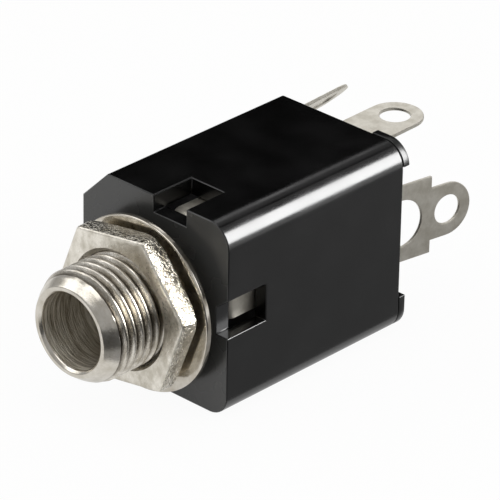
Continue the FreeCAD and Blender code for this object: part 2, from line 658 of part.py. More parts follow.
def make_sleeve_contact():
    """Strip along the right wall, folded back into a short spring that presses on the plug's sleeve."""
    body = contact_frame("sleeve_contact", 90)
    reach = value(SLEEVE_REACH)
    fold = front_fold()
    low = reach - size("fold_drop")
    spring = [(size("housing_length"), reach), (fold, reach), (fold, low),
              (fold + size("sleeve_knee_run"), low - size("sleeve_knee_drop")),
              (fold + size("sleeve_ridge_run"), size("plug_bore_radius") - size("sleeve_ridge_press")),
              (fold + size("sleeve_end_run"), size("plug_bore_radius") + size("sleeve_end_lift"))]
    add_spring(body, "sleeve_strip", spring, "$sleeve_rail_side - $rail_width / 2", "$rail_width")
    add_plate(body, "sleeve_tail", SLEEVE_REACH, "$sleeve_lug_side - $shoulder_half_width",
              "$sleeve_lug_side + $shoulder_half_width", "$housing_length - $tail_length",
              "$housing_length")
    add_lug(body, "sleeve_lug", SLEEVE_REACH, "$sleeve_lug_side", "$sleeve_lug_splay",
            "$sleeve_lug_side", "$shoulder_half_width")
    sketch = lug_sketch(body, "shoulder_outline", SLEEVE_REACH, "$sleeve_lug_splay")
    draw_rectangle(sketch, "$sleeve_lug_side - $shoulder_half_width",
                   "$sleeve_lug_side + $shoulder_half_width", "$lug_start", "$shoulder_length")
    add_pad(body, sketch, "shoulder", "$metal_thickness")
    sketch = lug_sketch(body, "shoulder_hole_outline", SLEEVE_REACH, "$sleeve_lug_splay")
    bind(sketch, "AttachmentOffset.Base.z", f"{SLEEVE_REACH} - $shoulder_hole_radius / 2")
    draw_circle(sketch, "$shoulder_hole_radius", "$sleeve_lug_side", "$shoulder_hole_distance")
    add_pocket(body, sketch, "shoulder_hole", "$shoulder_hole_radius", reverse=True)
    return body


def make_switch_contact():
    """Strip along the chamfered wall, with a tongue on which the tip spring's foot rests until a
    plug lifts it."""
    turn = -45
    body = contact_frame("switch_contact", turn)
    half = "$switch_rail_width / 2"
    add_plate(body, "switch_rail", SWITCH_REACH, f"{SWITCH_SIDE} - {half}", f"{SWITCH_SIDE} + {half}",
              "$housing_length - $switch_rail_length", "$housing_length")
    add_lug(body, "switch_lug", SWITCH_REACH, "$switch_lug_side", "$switch_lug_splay",
            SWITCH_SIDE, half)

    # The tongue's section is laid out square to the housing, then turned into the strip's frame.
    half_metal = value(HALF_METAL)
    wall = value(SLEEVE_REACH)
    away = math.sqrt(2) * value(SWITCH_REACH)
    lift = (size("plug_bore_radius") + size("tip_foot_lift") - size("metal_thickness")
            - size("switch_touch_gap"))
    section = [(-wall + half_metal, away - wall + half_metal), (-wall, away - wall),
               (-wall, lift), (-size("tongue_end"), lift)]
    lean = math.radians(turn)
    points = [Vector(x * math.cos(lean) - z * math.sin(lean), x * math.sin(lean) + z * math.cos(lean), 0)
              for x, z in section]
    sketch = new_sketch(body, "tongue_section", "XZ_Plane",
                        "-($housing_length - $cover_thickness - $tip_end_gap - $tip_foot_length"
                        " + $tongue_side_gap)")
    draw_folded_strip(sketch, points, size("tongue_bend_radius"))
    add_pad(body, sketch, "tongue", "$tip_foot_length - $tongue_side_gap", reverse=True)
    return body


pieces = [make() for make in (make_housing, make_rear_cover, make_threaded_bushing, make_washer,
                              make_hex_nut, make_tip_contact, make_sleeve_contact,
                              make_switch_contact)]
doc.recompute()

for item in doc.Objects:
    if {"Invalid", "Error"} & set(item.State):
        raise RuntimeError(f"{item.Name} failed: {item.State}")
for body in pieces:
    if body.Shape.isNull() or not body.Shape.isValid() or len(body.Shape.Solids) != 1:
        raise RuntimeError(f"{body.Label} is not one valid solid")

os.makedirs("parts", exist_ok=True)
for body in pieces:
    body.Shape.exportStep(f"parts/{body.Label}.step")
    box = body.Shape.BoundBox
    print(f"{body.Label}: {body.Shape.Volume:.1f} mm3, Y {box.YMin:.2f} to {box.YMax:.2f}")
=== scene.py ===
# %% [markdown]
# # A mono jack socket
#
# The object is a panel socket for a 6.35 mm plug. A black moulded box holds three folded springs,
# and a nickel-plated nose with a fine thread sticks out of its front. A washer and a hexagonal nut
# sit on the nose, ready to clamp the socket to a panel, and three tinned lugs come out at the rear.
#
# The solids come from a CAD model that is loaded first. The nose, the nut and the washer are made
# anew from the same sizes, with eased flanks and drawn rims. The box, its cover and the springs
# keep their solids and get soft edges. All surface marks are made here too.

import math

import bmesh
import bpy
import numpy as np
from mathutils import Matrix, Vector


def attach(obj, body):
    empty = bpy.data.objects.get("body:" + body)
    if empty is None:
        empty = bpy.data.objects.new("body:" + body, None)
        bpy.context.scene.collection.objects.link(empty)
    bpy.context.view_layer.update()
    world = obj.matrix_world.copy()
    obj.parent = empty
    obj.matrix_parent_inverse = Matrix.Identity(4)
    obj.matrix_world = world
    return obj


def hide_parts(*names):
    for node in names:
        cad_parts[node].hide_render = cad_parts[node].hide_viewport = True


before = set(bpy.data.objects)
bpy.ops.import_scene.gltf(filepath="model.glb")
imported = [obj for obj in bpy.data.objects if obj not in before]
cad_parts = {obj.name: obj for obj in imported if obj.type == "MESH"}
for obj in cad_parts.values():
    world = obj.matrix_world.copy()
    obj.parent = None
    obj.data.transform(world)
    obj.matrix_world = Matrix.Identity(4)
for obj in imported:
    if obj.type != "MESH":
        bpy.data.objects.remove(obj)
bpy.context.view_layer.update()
MM = 0.001
print("nodes:", sorted(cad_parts))

# %% [markdown]
# ## The camera
#
# The photograph was taken with a long lens from the front right and from above, so that parallel
# edges stay nearly parallel. The camera looks at a point on the socket's axis from the same side.

# %% Camera
AZIMUTH, ELEVATION, ROLL = 42.968, 27.907, 1.047     # degrees
DISTANCE = 357.954                                   # mm from the target
TARGET_DEPTH = 13.0                                  # mm behind the front face, on the axis
SHIFT_RIGHT, SHIFT_UP = -1.352, -0.960               # mm, moves the target across the picture
FOCAL_IN_PICTURE_WIDTHS = 8.8223


def camera_axes(azimuth, elevation, roll):
    """Right, up and backward unit vectors of a camera that stands at an azimuth and an elevation
    and is then rolled about its own line of sight. Angles are in degrees."""
    a, e, r = (math.radians(angle) for angle in (azimuth, elevation, roll))
    back = Vector((math.sin(a) * math.cos(e), -math.cos(a) * math.cos(e), math.sin(e)))
    right = Vector((math.cos(a), math.sin(a), 0))
    up = back.cross(right)
    return math.cos(r) * right + math.sin(r) * up, math.cos(r) * up - math.sin(r) * right, back


right, up, back = camera_axes(AZIMUTH, ELEVATION, ROLL)
target = Vector((0, TARGET_DEPTH, 0)) + SHIFT_RIGHT * right + SHIFT_UP * up
camera_data = bpy.data.cameras.new("camera")
camera_data.sensor_width = 36                        # mm
camera_data.lens = FOCAL_IN_PICTURE_WIDTHS * camera_data.sensor_width
camera_data.clip_start, camera_data.clip_end = 0.01, 10      # metres
camera = bpy.data.objects.new("camera", camera_data)
placement = Matrix((right, up, back)).transposed().to_4x4()
placement.translation = (target + DISTANCE * back) * MM
camera.matrix_world = placement
bpy.context.scene.collection.objects.link(camera)
bpy.context.scene.camera = camera
print("lens", round(camera_data.lens, 1), "mm")

# %% [markdown]
# ## Helpers for materials
#
# Every finish below is a small node tree. One function writes a hex colour as the linear numbers
# that the shader wants, and one function adds a node with its settings and its links.

# %% Material helpers
def colour(code):
    """Linear RGBA of an sRGB hex code: each channel c becomes c / 12.92 near black and
    ((c + 0.055) / 1.055) to the power 2.4 above that."""
    channels = [int(code[i:i + 2], 16) / 255 for i in (1, 3, 5)]
    return tuple(c / 12.92 if c <= 0.04045 else ((c + 0.055) / 1.055) ** 2.4
                 for c in channels) + (1.0,)


def empty_material(name):
    """A material without any nodes."""
    material = bpy.data.materials.new(name)
    material.use_nodes = True
    material.node_tree.nodes.clear()
    return material


def new_material(name):
    """A material with its shader and its output already joined."""
    material = empty_material(name)
    shader = node(material, "ShaderNodeBsdfPrincipled")
    node(material, "ShaderNodeOutputMaterial", Surface=shader.outputs["BSDF"])
    return material, shader


def node(owner, kind, settings=None, **inputs):
    """Add a node. Settings are its own properties; each input is a value, or a socket to link from.
    Underscores in an input's name stand for spaces, and a leading i with a number for its place."""
    tree = owner.node_tree
    new = tree.nodes.new(kind)
    for key, setting in (settings or {}).items():
        setattr(new, key, setting)
    for key, given in inputs.items():
        is_place = key[0] == "i" and key[1:].isdigit()
        socket = new.inputs[int(key[1:])] if is_place else new.inputs[key.replace("_", " ")]
        if isinstance(given, bpy.types.NodeSocket):
            tree.links.new(given, socket)
        else:
            socket.default_value = given
    return new


def ramp(owner, factor, stops):
    """A colour ramp through (position, hex code) stops."""
    new = node(owner, "ShaderNodeValToRGB", i0=factor)
    elements = new.color_ramp.elements
    while len(elements) < len(stops):
        elements.new(0.5)
    for element, (position, code) in zip(elements, stops):
        element.position, element.color = position, colour(code)
    return new.outputs["Color"]


def wire(material, shader, **sources):
    """Link each source to the shader's input of that name. Underscores stand for spaces."""
    for name, source in sources.items():
        material.node_tree.links.new(source, shader.inputs[name.replace("_", " ")])


def per_mm(size_mm):
    """Scale of a texture on Object coordinates, in metres, whose features are size_mm apart."""
    return 1 / (size_mm * MM)


NOISE_LOW, NOISE_HIGH = 0.3, 0.7     # most values of a noise texture lie between these
print("white is", colour("#ffffff"))

# %% [markdown]
# ## Black moulded plastic
#
# The housing is taken to be a glass-filled polyester (PBT), moulded in a polished tool. It is nearly
# black in itself: all that the eye sees are reflections, a little blurred by the skin of the
# moulding. A very fine unevenness breaks the long reflections up, and faint flow marks change the
# gloss. PBT bends light more than most plastics, so its reflections are a little stronger.
#
# Two of the finishes are chosen one by one. The front wall is made greyer and less glossy, because
# the photograph is greyer there; its grey is painted sheen, the light that the wall catches put
# into its base colour. The inside isn't seen in the photograph. It is made matt, so that the
# windows stay dark and don't mirror the floor.

# %% Housing plastic
PBT_IOR = 1.58
FLOW_MARKS_MM = 4.0
DULLER, GLOSSIER = 0.05, 0.03        # how far the flow marks move the roughness


def moulded_plastic(name, base, roughness, grain_mm, depth_mm):
    """Plastic with a base colour, flow marks in its gloss, and a grain of a given size and depth
    in its bump."""
    material, shader = new_material(name)
    place = node(material, "ShaderNodeTexCoord").outputs["Object"]
    flow = node(material, "ShaderNodeTexNoise", Vector=place, Scale=per_mm(FLOW_MARKS_MM),
                Detail=3.0)
    grain = node(material, "ShaderNodeTexNoise", Vector=place, Scale=per_mm(grain_mm), Detail=4.0,
                 Roughness=0.6)
    gloss = node(material, "ShaderNodeMapRange", Value=flow.outputs["Fac"], From_Min=NOISE_LOW,
                 From_Max=NOISE_HIGH, To_Min=roughness - GLOSSIER, To_Max=roughness + DULLER)
    bump = node(material, "ShaderNodeBump", Strength=1.0, Distance=depth_mm * MM,
                Height=grain.outputs["Fac"])
    shader.inputs["Base Color"].default_value = colour(base)
    shader.inputs["IOR"].default_value = PBT_IOR
    wire(material, shader, Roughness=gloss.outputs["Result"], Normal=bump.outputs["Normal"])
    return material


housing_plastic = moulded_plastic("moulded_pbt_satin", "#040404", roughness=0.22, grain_mm=0.35,
                                  depth_mm=0.0012)
core_plastic = moulded_plastic("moulded_pbt_core_side", "#040404", roughness=0.62, grain_mm=0.25,
                               depth_mm=0.004)
# The front wall's grey base colour #3a3a39 is painted sheen on the same black plastic.
front_sheen_plastic = moulded_plastic("moulded_pbt_front_painted_sheen", "#3a3a39", roughness=0.26,
                                grain_mm=0.25, depth_mm=0.003)
cover_plastic = moulded_plastic("moulded_pbt_matt", "#0c0c0c", roughness=0.28, grain_mm=0.25,
                                depth_mm=0.002)
print("plastics:", housing_plastic.name, cover_plastic.name)

# %% [markdown]
# ## Nickel plate
#
# The nose, the nut and the washer are taken to be plated with nickel, a warm grey metal. What
# differs is the surface under the plate: turned and bright on the nose, ground on the nut's faces
# and left as rough bar on its flats, and smooth rolled sheet on the washer.

# %% Nickel finishes
def pitted(material, place, normal, cell_mm, depth_mm):
    """A bump of flat-topped crystals with narrow joints between them, whose outlines are bent by a
    finer noise. It is laid over the bump that comes in as a normal."""
    bend_size, bend_reach, joint_width = 0.7, 0.9, 0.22          # shares of a cell
    bend = node(material, "ShaderNodeTexNoise", Vector=place, Scale=per_mm(cell_mm * bend_size),
                Detail=3.0)
    amount = node(material, "ShaderNodeVectorMath", {"operation": "SCALE"},
                  i0=bend.outputs["Color"], Scale=bend_reach * cell_mm * MM)
    moved = node(material, "ShaderNodeVectorMath", {"operation": "ADD"}, i0=place,
                 i1=amount.outputs["Vector"])
    crystals = node(material, "ShaderNodeTexVoronoi", {"feature": "DISTANCE_TO_EDGE"},
                    Vector=moved.outputs["Vector"], Scale=per_mm(cell_mm))
    top = node(material, "ShaderNodeMapRange", {"interpolation_type": "SMOOTHSTEP"},
               Value=crystals.outputs["Distance"], From_Min=0.0, From_Max=joint_width)
    return node(material, "ShaderNodeBump", Strength=1.0, Distance=depth_mm * MM,
                Height=top.outputs["Result"], Normal=normal)


def painted_groove_shade(material, place, tint, inner_mm, outer_mm, code):
    """The tint multiplied by a darker one below inner_mm from the plug's axis, fading out towards
    outer_mm: painted shade in the thread's grooves. The distance is the length of the point's place
    with its depth set to nought."""
    flat = node(material, "ShaderNodeVectorMath", {"operation": "MULTIPLY"}, i0=place,
                i1=(1, 0, 1))
    radius = node(material, "ShaderNodeVectorMath", {"operation": "LENGTH"},
                  i0=flat.outputs["Vector"])
    share = node(material, "ShaderNodeMapRange", Value=radius.outputs["Value"],
                 From_Min=inner_mm * MM, From_Max=outer_mm * MM, To_Min=1.0, To_Max=0.0)
    mixed = node(material, "ShaderNodeMix", {"data_type": "RGBA", "blend_type": "MULTIPLY"},
                 Factor=share.outputs["Result"], A=(1, 1, 1, 1), B=colour(code))
    material.node_tree.links.new(tint, mixed.inputs["A"])
    return mixed.outputs["Result"]


def plated_metal(name, tone, dark_tone, roughness, grain_mm, depth_mm, stretch=(1, 1, 1),
                 tone_mm=1.2, cells=None, groove=None):
    """Metal whose colour wanders between two tones, with a grain that may be stretched along an
    axis: a stretch of 0.1 makes the marks ten times as long as they are wide. Cells (size and depth
    in mm) add a network of pits. A groove (two radii in mm, hex code) paints shade on what lies
    deeper, as in a thread's grooves."""
    material, shader = new_material(name)
    place = node(material, "ShaderNodeTexCoord").outputs["Object"]
    pulled = node(material, "ShaderNodeMapping", Vector=place, Scale=stretch)
    patches = node(material, "ShaderNodeTexNoise", Vector=pulled.outputs["Vector"],
                   Scale=per_mm(tone_mm), Detail=4.0, Roughness=0.6)
    grain = node(material, "ShaderNodeTexNoise", Vector=pulled.outputs["Vector"],
                 Scale=per_mm(grain_mm), Detail=5.0, Roughness=0.65)
    tint = ramp(material, patches.outputs["Fac"], [(0.36, dark_tone), (0.64, tone)])
    gloss = node(material, "ShaderNodeMapRange", Value=grain.outputs["Fac"], From_Min=NOISE_LOW,
                 From_Max=NOISE_HIGH, To_Min=roughness * 0.8, To_Max=roughness * 1.25)
    bump = node(material, "ShaderNodeBump", Strength=1.0, Distance=depth_mm * MM,
                Height=grain.outputs["Fac"])
    if cells:
        bump = pitted(material, place, bump.outputs["Normal"], *cells)
    # A groove paints shade into the tint deeper in.
    if groove:
        tint = painted_groove_shade(material, place, tint, *groove)
    shader.inputs["Metallic"].default_value = 1.0
    wire(material, shader, Base_Color=tint, Roughness=gloss.outputs["Result"],
         Normal=bump.outputs["Normal"])
    return material


turned_nickel = plated_metal("turned_nickel_bright", "#d9d4cb", "#c5bfb3", roughness=0.22,
                             grain_mm=0.22, depth_mm=0.006)
bore_nickel = plated_metal("drilled_nickel_dull", "#fffaee", "#aba08d", roughness=0.44,
                           grain_mm=0.16, depth_mm=0.120, stretch=(0.10, 1, 0.10), tone_mm=0.28)
ground_nickel = plated_metal("ground_nickel_satin", "#f0ebe1", "#c8c2b5", roughness=0.30,
                             grain_mm=0.17, depth_mm=0.034, stretch=(1, 1, 0.7), tone_mm=0.9)
rough_nickel = plated_metal("rough_bar_nickel", "#e2ddd2", "#a39c8c", roughness=0.20,
                            grain_mm=0.12, depth_mm=0.008, cells=(0.42, 0.050))
# The thread's grooves get painted shade in #57514a below 4.28 mm from the axis.
thread_nickel = plated_metal("cut_thread_nickel", "#e6e1d8", "#a8a194", roughness=0.24,
                             grain_mm=0.11, depth_mm=0.024, stretch=(0.18, 1, 0.18), tone_mm=0.3,
                             groove=(4.28, 4.64, "#57514a"))
sheet_nickel = plated_metal("rolled_sheet_nickel", "#d4cfc6", "#bdb5a6", roughness=0.16,
                            grain_mm=0.5, depth_mm=0.002)
tinned_strip = plated_metal("tinned_spring_strip", "#dcd8ce", "#c6c1b5", roughness=0.48,
                            grain_mm=0.16, depth_mm=0.006)
print("metals:", turned_nickel.name, bore_nickel.name, ground_nickel.name, rough_nickel.name)

# %% [markdown]
# ## Surfaces from numbers
#
# A turned or cut piece is a grid of points: one parameter goes round the plug's axis and the other
# follows a profile. The whole grid is worked out at once, and one function turns it into a mesh.

# %% Grid to mesh
def grid_mesh(name, points, materials, sharp_degrees=35):
    """Mesh from an array of points [profile, round, xyz]. Both ways wrap round, so that the piece
    is a closed ring. Faces are quads between neighbours, wound so that they face outwards when the
    profile runs anticlockwise seen with the radius up and the depth to the right."""
    rows, columns = points.shape[:2]
    index = np.arange(rows * columns).reshape(rows, columns)
    after_row, after_column = np.roll(index, -1, axis=0), np.roll(index, -1, axis=1)
    corner = np.roll(after_row, -1, axis=1)
    faces = np.stack([index, after_column, corner, after_row], axis=-1).reshape(-1, 4)
    mesh = bpy.data.meshes.new(name)
    mesh.from_pydata(points.reshape(-1, 3) * MM, [], faces.tolist())
    mesh.polygons.foreach_set("use_smooth", np.ones(len(faces), bool))
    for material in materials:
        mesh.materials.append(material)
    mesh.update()
    mesh.set_sharp_from_angle(angle=math.radians(sharp_degrees))
    piece = bpy.data.objects.new(name, mesh)
    bpy.context.scene.collection.objects.link(piece)
    return piece


def rounded_path(corners, radii, steps=5):
    """Points along a closed path with its corners rounded: each corner is replaced by a quadratic
    curve that starts and ends one radius away from it along its two sides."""
    corners = np.array(corners, float)
    path = []
    for i, corner in enumerate(corners):
        before, after = corners[i - 1] - corner, corners[(i + 1) % len(corners)] - corner
        reach = radii[i]
        if reach == 0:
            path.append(corner[None])
            continue
        start = corner + before / np.linalg.norm(before) * min(reach, np.linalg.norm(before) / 2)
        end = corner + after / np.linalg.norm(after) * min(reach, np.linalg.norm(after) / 2)
        t = np.linspace(0, 1, steps)[:, None]
        path.append((1 - t) ** 2 * start + 2 * t * (1 - t) * corner + t ** 2 * end)
    return np.concatenate(path)


def set_face_material(piece, choose):
    """Give each face the slot that choose(centres in mm) returns."""
    mesh = piece.data
    centres = np.empty(len(mesh.polygons) * 3)
    mesh.polygons.foreach_get("center", centres)
    slots = choose(centres.reshape(-1, 3) / MM).astype(np.int32)
    mesh.polygons.foreach_set("material_index", slots)


print("helpers ready")

# %% [markdown]
# ## The threaded nose
#
# The nose is turned from brass bar and its thread is cut with a die, 0.85 mm from crest to crest. A
# screw thread is a groove that moves on by one pitch in each turn, so the radius here is a function
# of depth and angle together. A bevel in two slopes at the front cuts it down and leads the nut on.

# %% Nose profile
THREAD_RADIUS, BORE_RADIUS = 4.76, 3.25
NOSE_FRONT, NOSE_REAR = -9.45, 2.70
PITCH, THREAD_DEPTH, ROOT_WIDTH = 0.85, 0.50, 0.08
THREAD_START, THREAD_END = -9.15, 0.90
LIP_INNER, LIP_OUTER, LEAD_IN = 3.50, 3.80, 0.25
SHOULDER_LENGTH, SHOULDER_RADIUS, BEVEL_LENGTH = 0.75, 4.34, 1.55
FLANGE_HALF, FLANGE_FRONT, FLANGE_CUT = 5.10, 1.50, 0.6
EASING = 0.05                        # softness of the soft minimum on flanks and hexagon corners


def thread_cut(depth, angle):
    """How deep the groove is. Turns are counted from the top, clockwise seen from the front, and
    each moves the groove back by a pitch. The distance to its middle is what is left after whole
    pitches; flanks at 60 degrees to each other rise from a narrow root. Both edges of a flank are
    eased by a soft minimum, as on metal that has been plated."""
    turns = 0.25 - angle / (2 * np.pi)
    away = np.mod(depth - THREAD_START - PITCH * turns + PITCH / 2, PITCH) - PITCH / 2
    flank = THREAD_DEPTH * math.tan(math.radians(30))
    share = (ROOT_WIDTH / 2 + flank - np.abs(away)) / flank
    share = EASING * np.logaddexp(share / EASING, 0)
    share = -EASING * np.logaddexp(-share / EASING, -1 / EASING)
    return THREAD_DEPTH * share * (depth < THREAD_END)


def bevel_radius(depth):
    """Straight lines from the lip's outer edge to a shoulder, and on to the full thread radius."""
    return np.interp(depth - NOSE_FRONT, [0, SHOULDER_LENGTH, BEVEL_LENGTH],
                     [LIP_OUTER, SHOULDER_RADIUS, THREAD_RADIUS])


def square_radius(angle, half, cut):
    """Distance from the axis to a square with its corners cut off, in a given direction: the
    smallest of the distances to the four sides and the four cuts."""
    side = half / np.maximum(np.abs(np.cos(angle)), np.abs(np.sin(angle)))
    across = (2 * half - cut) / (np.abs(np.cos(angle)) + np.abs(np.sin(angle)))
    return np.minimum(side, across)


print("thread crests are", round(PITCH - ROOT_WIDTH - 2 * THREAD_DEPTH * math.tan(math.pi / 6), 3),
      "mm wide")

# %% [markdown]
# The whole nose is one ring of points: the outside with its thread, the lip, the bore and the
# square flange that sits behind the housing's wall. Three finishes share it: bright turning on the
# bevels, finer marks on the cut thread, whose grooves are darkened with painted shade, and dull
# drilling in the bore.

# %% Nose
LIP_ROUNDS = (0.10, 0.07, 0.12)      # outer edge, inner edge and the start of the bore
LIP_DEPTH = 0.15                     # how far the rounded lip reaches back on the outside
OUTSIDE_ROWS, BORE_ROWS, NOSE_COLUMNS = 260, 40, 256
DRILLED_WITHIN, DRILLED_FROM = BORE_RADIUS + 0.03, NOSE_FRONT + LEAD_IN + 0.05
CUT_BEYOND, CUT_FROM = 4.0, -8.3     # radius and depth where the thread's finish begins


def nose_finish(centre):
    """Slot 1 for faces in the bore, 2 for those on the thread."""
    away = np.hypot(centre[:, 0], centre[:, 2])
    drilled = (away < DRILLED_WITHIN) & (centre[:, 1] > DRILLED_FROM)
    cut = (away > CUT_BEYOND) & (centre[:, 1] > CUT_FROM) & (centre[:, 1] < THREAD_END)
    return drilled + 2 * cut


def make_nose():
    """Ring swept round the axis. Its profile runs forwards along the outside, over the lip and back
    through the bore. The smaller of the bevel's radius and the thread's is the outside."""
    rows_front = NOSE_FRONT + LIP_DEPTH
    thread_rows = np.linspace(FLANGE_FRONT, rows_front, OUTSIDE_ROWS)
    lip = rounded_path([(rows_front, bevel_radius(rows_front)), (NOSE_FRONT, LIP_OUTER),
                        (NOSE_FRONT, LIP_INNER), (NOSE_FRONT + LEAD_IN, BORE_RADIUS),
                        (NOSE_REAR, BORE_RADIUS)], [0, *LIP_ROUNDS, 0])
    bore_rows = np.linspace(lip[-2, 0], NOSE_REAR, BORE_ROWS)[1:-1]
    depth = np.concatenate([[NOSE_REAR, NOSE_REAR, FLANGE_FRONT], thread_rows, lip[1:-1, 0],
                            bore_rows])
    radius = np.concatenate([[BORE_RADIUS, FLANGE_HALF, FLANGE_HALF], bevel_radius(thread_rows),
                             lip[1:-1, 1], np.full(len(bore_rows), BORE_RADIUS)])
    angle = np.linspace(0, 2 * np.pi, NOSE_COLUMNS, endpoint=False)
    depths, angles = np.meshgrid(depth, angle, indexing="ij")
    radii = np.repeat(radius[:, None], NOSE_COLUMNS, axis=1)
    flange = slice(1, 3)
    radii[flange] = square_radius(angles[flange], FLANGE_HALF, FLANGE_CUT)
    threaded = slice(3, 3 + len(thread_rows))
    radii[threaded] = np.minimum(radii[threaded],
                                 THREAD_RADIUS - thread_cut(depths[threaded], angles[threaded]))
    points = np.stack([radii * np.cos(angles), depths, radii * np.sin(angles)], axis=-1)
    piece = grid_mesh("threaded_nose", points, [turned_nickel, bore_nickel, thread_nickel],
                      sharp_degrees=50)
    set_face_material(piece, nose_finish)
    return piece


nose = make_nose()
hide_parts("threaded_bushing")
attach(nose, "socket")
print("nose faces:", len(nose.data.polygons))

# %% [markdown]
# ## The nut
#
# The nut is sliced from hexagonal bar. Its corners are cut back a little at the front face and more
# at the rear, its hole opens with a countersink, and tumbling before plating has softened all
# its edges, most of all those of the front face.

# %% Nut
NUT_REAR, NUT_FRONT = -2.28, -4.13
HALF_FLATS, NUT_ANGLE = 6.35, 39.0
NUT_BORE, COUNTERSINK = 4.81, 0.35
FRONT_BEVEL_RADIUS, REAR_BEVEL_RADIUS = 6.98, 6.68
FRONT_EDGE, REAR_EDGE = 0.25, 0.10
CORNER_LOSS = 0.03                   # what tumbling took off the hexagon's corners
NUT_COLUMNS, FACE_ROWS = 360, 11
FLANK_FROM, FLANK_TO, FLANK_BEYOND = NUT_FRONT + 0.12, NUT_REAR - 0.05, HALF_FLATS - 0.2


def hexagon_radius(angle, half_flats, turn, round_to):
    """Distance from the axis to a hexagon's side, in a given direction: half the width over flats
    divided by the cosine of the angle to the nearest flat, eased to round_to near the corners."""
    local = np.mod(angle - math.radians(turn) + np.pi / 6, np.pi / 3) - np.pi / 6
    flat = half_flats / np.cos(local)
    return -EASING * np.logaddexp(-flat / EASING, -round_to / EASING)


def nut_finish(centre):
    """Slot 1 for the flanks, which keep the surface of the bar."""
    return ((centre[:, 1] > FLANK_FROM) & (centre[:, 1] < FLANK_TO)
            & (np.hypot(centre[:, 0], centre[:, 2]) > FLANK_BEYOND))


def make_nut():
    """Ring whose outer edge follows the hexagon. In each direction the two faces slope back from
    their bevel circle at 30 degrees, and a quarter round joins them to the flank."""
    angle = np.linspace(0, 2 * np.pi, NUT_COLUMNS, endpoint=False)
    outer = hexagon_radius(angle, HALF_FLATS, NUT_ANGLE,
                           HALF_FLATS / math.cos(math.pi / 6) - CORNER_LOSS)
    slope = math.tan(math.radians(30))
    rows = []

    def add(depth, radius):
        """One row of points round the axis."""
        rows.append(np.stack([radius * np.cos(angle), depth + 0 * angle, radius * np.sin(angle)],
                             axis=-1))

    def face(level, bevel_radius, inwards, edge_round, shares):
        """Rows of a face, from the countersink (share 0) to where the edge's round begins (1)."""
        for share in shares:
            radius = share * (outer - edge_round) + (1 - share) * (NUT_BORE + COUNTERSINK)
            add(level + inwards * slope * np.maximum(radius - bevel_radius, 0), radius)

    def edge(level, bevel_radius, inwards, edge_round, turns):
        """Rows of the round between a face (0 degrees) and the flank (90 degrees)."""
        start = level + inwards * slope * np.maximum(outer - edge_round - bevel_radius, 0)
        for turn in turns:
            t = math.radians(turn)
            add(start + inwards * edge_round * (1 - math.cos(t)),
                outer - edge_round * (1 - math.sin(t)))

    shares = np.linspace(0, 1, FACE_ROWS)
    bends = (15, 30, 45, 60, 75)
    add(NUT_REAR - COUNTERSINK, NUT_BORE + 0 * angle)
    face(NUT_REAR, REAR_BEVEL_RADIUS, -1, REAR_EDGE, shares)
    edge(NUT_REAR, REAR_BEVEL_RADIUS, -1, REAR_EDGE, bends[::2])
    edge(NUT_FRONT, FRONT_BEVEL_RADIUS, +1, FRONT_EDGE, bends[::-1])
    face(NUT_FRONT, FRONT_BEVEL_RADIUS, +1, FRONT_EDGE, shares[::-1])
    add(NUT_FRONT + COUNTERSINK, NUT_BORE + 0 * angle)
    piece = grid_mesh("hexagon_nut", np.array(rows), [ground_nickel, rough_nickel])
    set_face_material(piece, nut_finish)
    return piece


nut = make_nut()
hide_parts("hex_nut")
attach(nut, "nut")
print("nut faces:", len(nut.data.polygons))

# %% [markdown]
# ## The washer
#
# The washer is punched from thin sheet, so its rims are drawn round by the punch, more on the front
# than on the rear. It hangs on the thread by its own weight, a little below the nut's centre.

# %% Washer
WASHER_FRONT, WASHER_REAR = -1.71, -1.21
WASHER_HOLE, WASHER_RADIUS, WASHER_DROP = 5.20, 7.50, -0.40
WASHER_ROUNDS = (0.06, 0.10, 0.16, 0.14)     # rear hole, rear rim, front rim, front hole
WASHER_COLUMNS = 256


def make_washer():
    """Ring swept round its own centre, from a rectangle with rounded corners."""
    profile = rounded_path([(WASHER_REAR, WASHER_HOLE), (WASHER_REAR, WASHER_RADIUS),
                            (WASHER_FRONT, WASHER_RADIUS), (WASHER_FRONT, WASHER_HOLE)],
                           WASHER_ROUNDS, steps=6)
    angle = np.linspace(0, 2 * np.pi, WASHER_COLUMNS, endpoint=False)
    depths, angles = np.meshgrid(profile[:, 0], angle, indexing="ij")
    radii = np.repeat(profile[:, 1:2], len(angle), axis=1)
    points = np.stack([radii * np.cos(angles), depths, radii * np.sin(angles) + WASHER_DROP],
                      axis=-1)
    return grid_mesh("flat_washer", points, [sheet_nickel], sharp_degrees=60)


washer = make_washer()
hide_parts("washer")
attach(washer, "washer_ring")
print("washer faces:", len(washer.data.polygons))

# %% [markdown]
# ## The housing, its cover and the contacts
#
# These keep the shape of their solids. What a moulding or a stamping has besides is a small radius
# on every edge, which catches the light as a thin line. A copy of the solid is joined up, its flat
# facets are merged, and a bevel rounds what is left. The bevel isn't clamped, so it leaves small
# folded faces where two rounded edges meet or run close together.

# %% Soft edges on solids
MERGE_WITHIN = 1e-6                  # metres
FLAT_WITHIN, SHARP_FROM = 1, 35      # degrees between neighbouring faces
HOUSING_EDGE, COVER_EDGE, STRIP_EDGE = 0.12, 0.07, 0.07
HOLLOW_HALF_X, HOLLOW_HALF_Z = 6.85, 6.95    # faces with their centre in this box are inside
HOLLOW_FRONT, HOLLOW_REAR = 1.4, 20.2
FRONT_FACE_WITHIN = 0.02             # mm behind the plane of the front wall


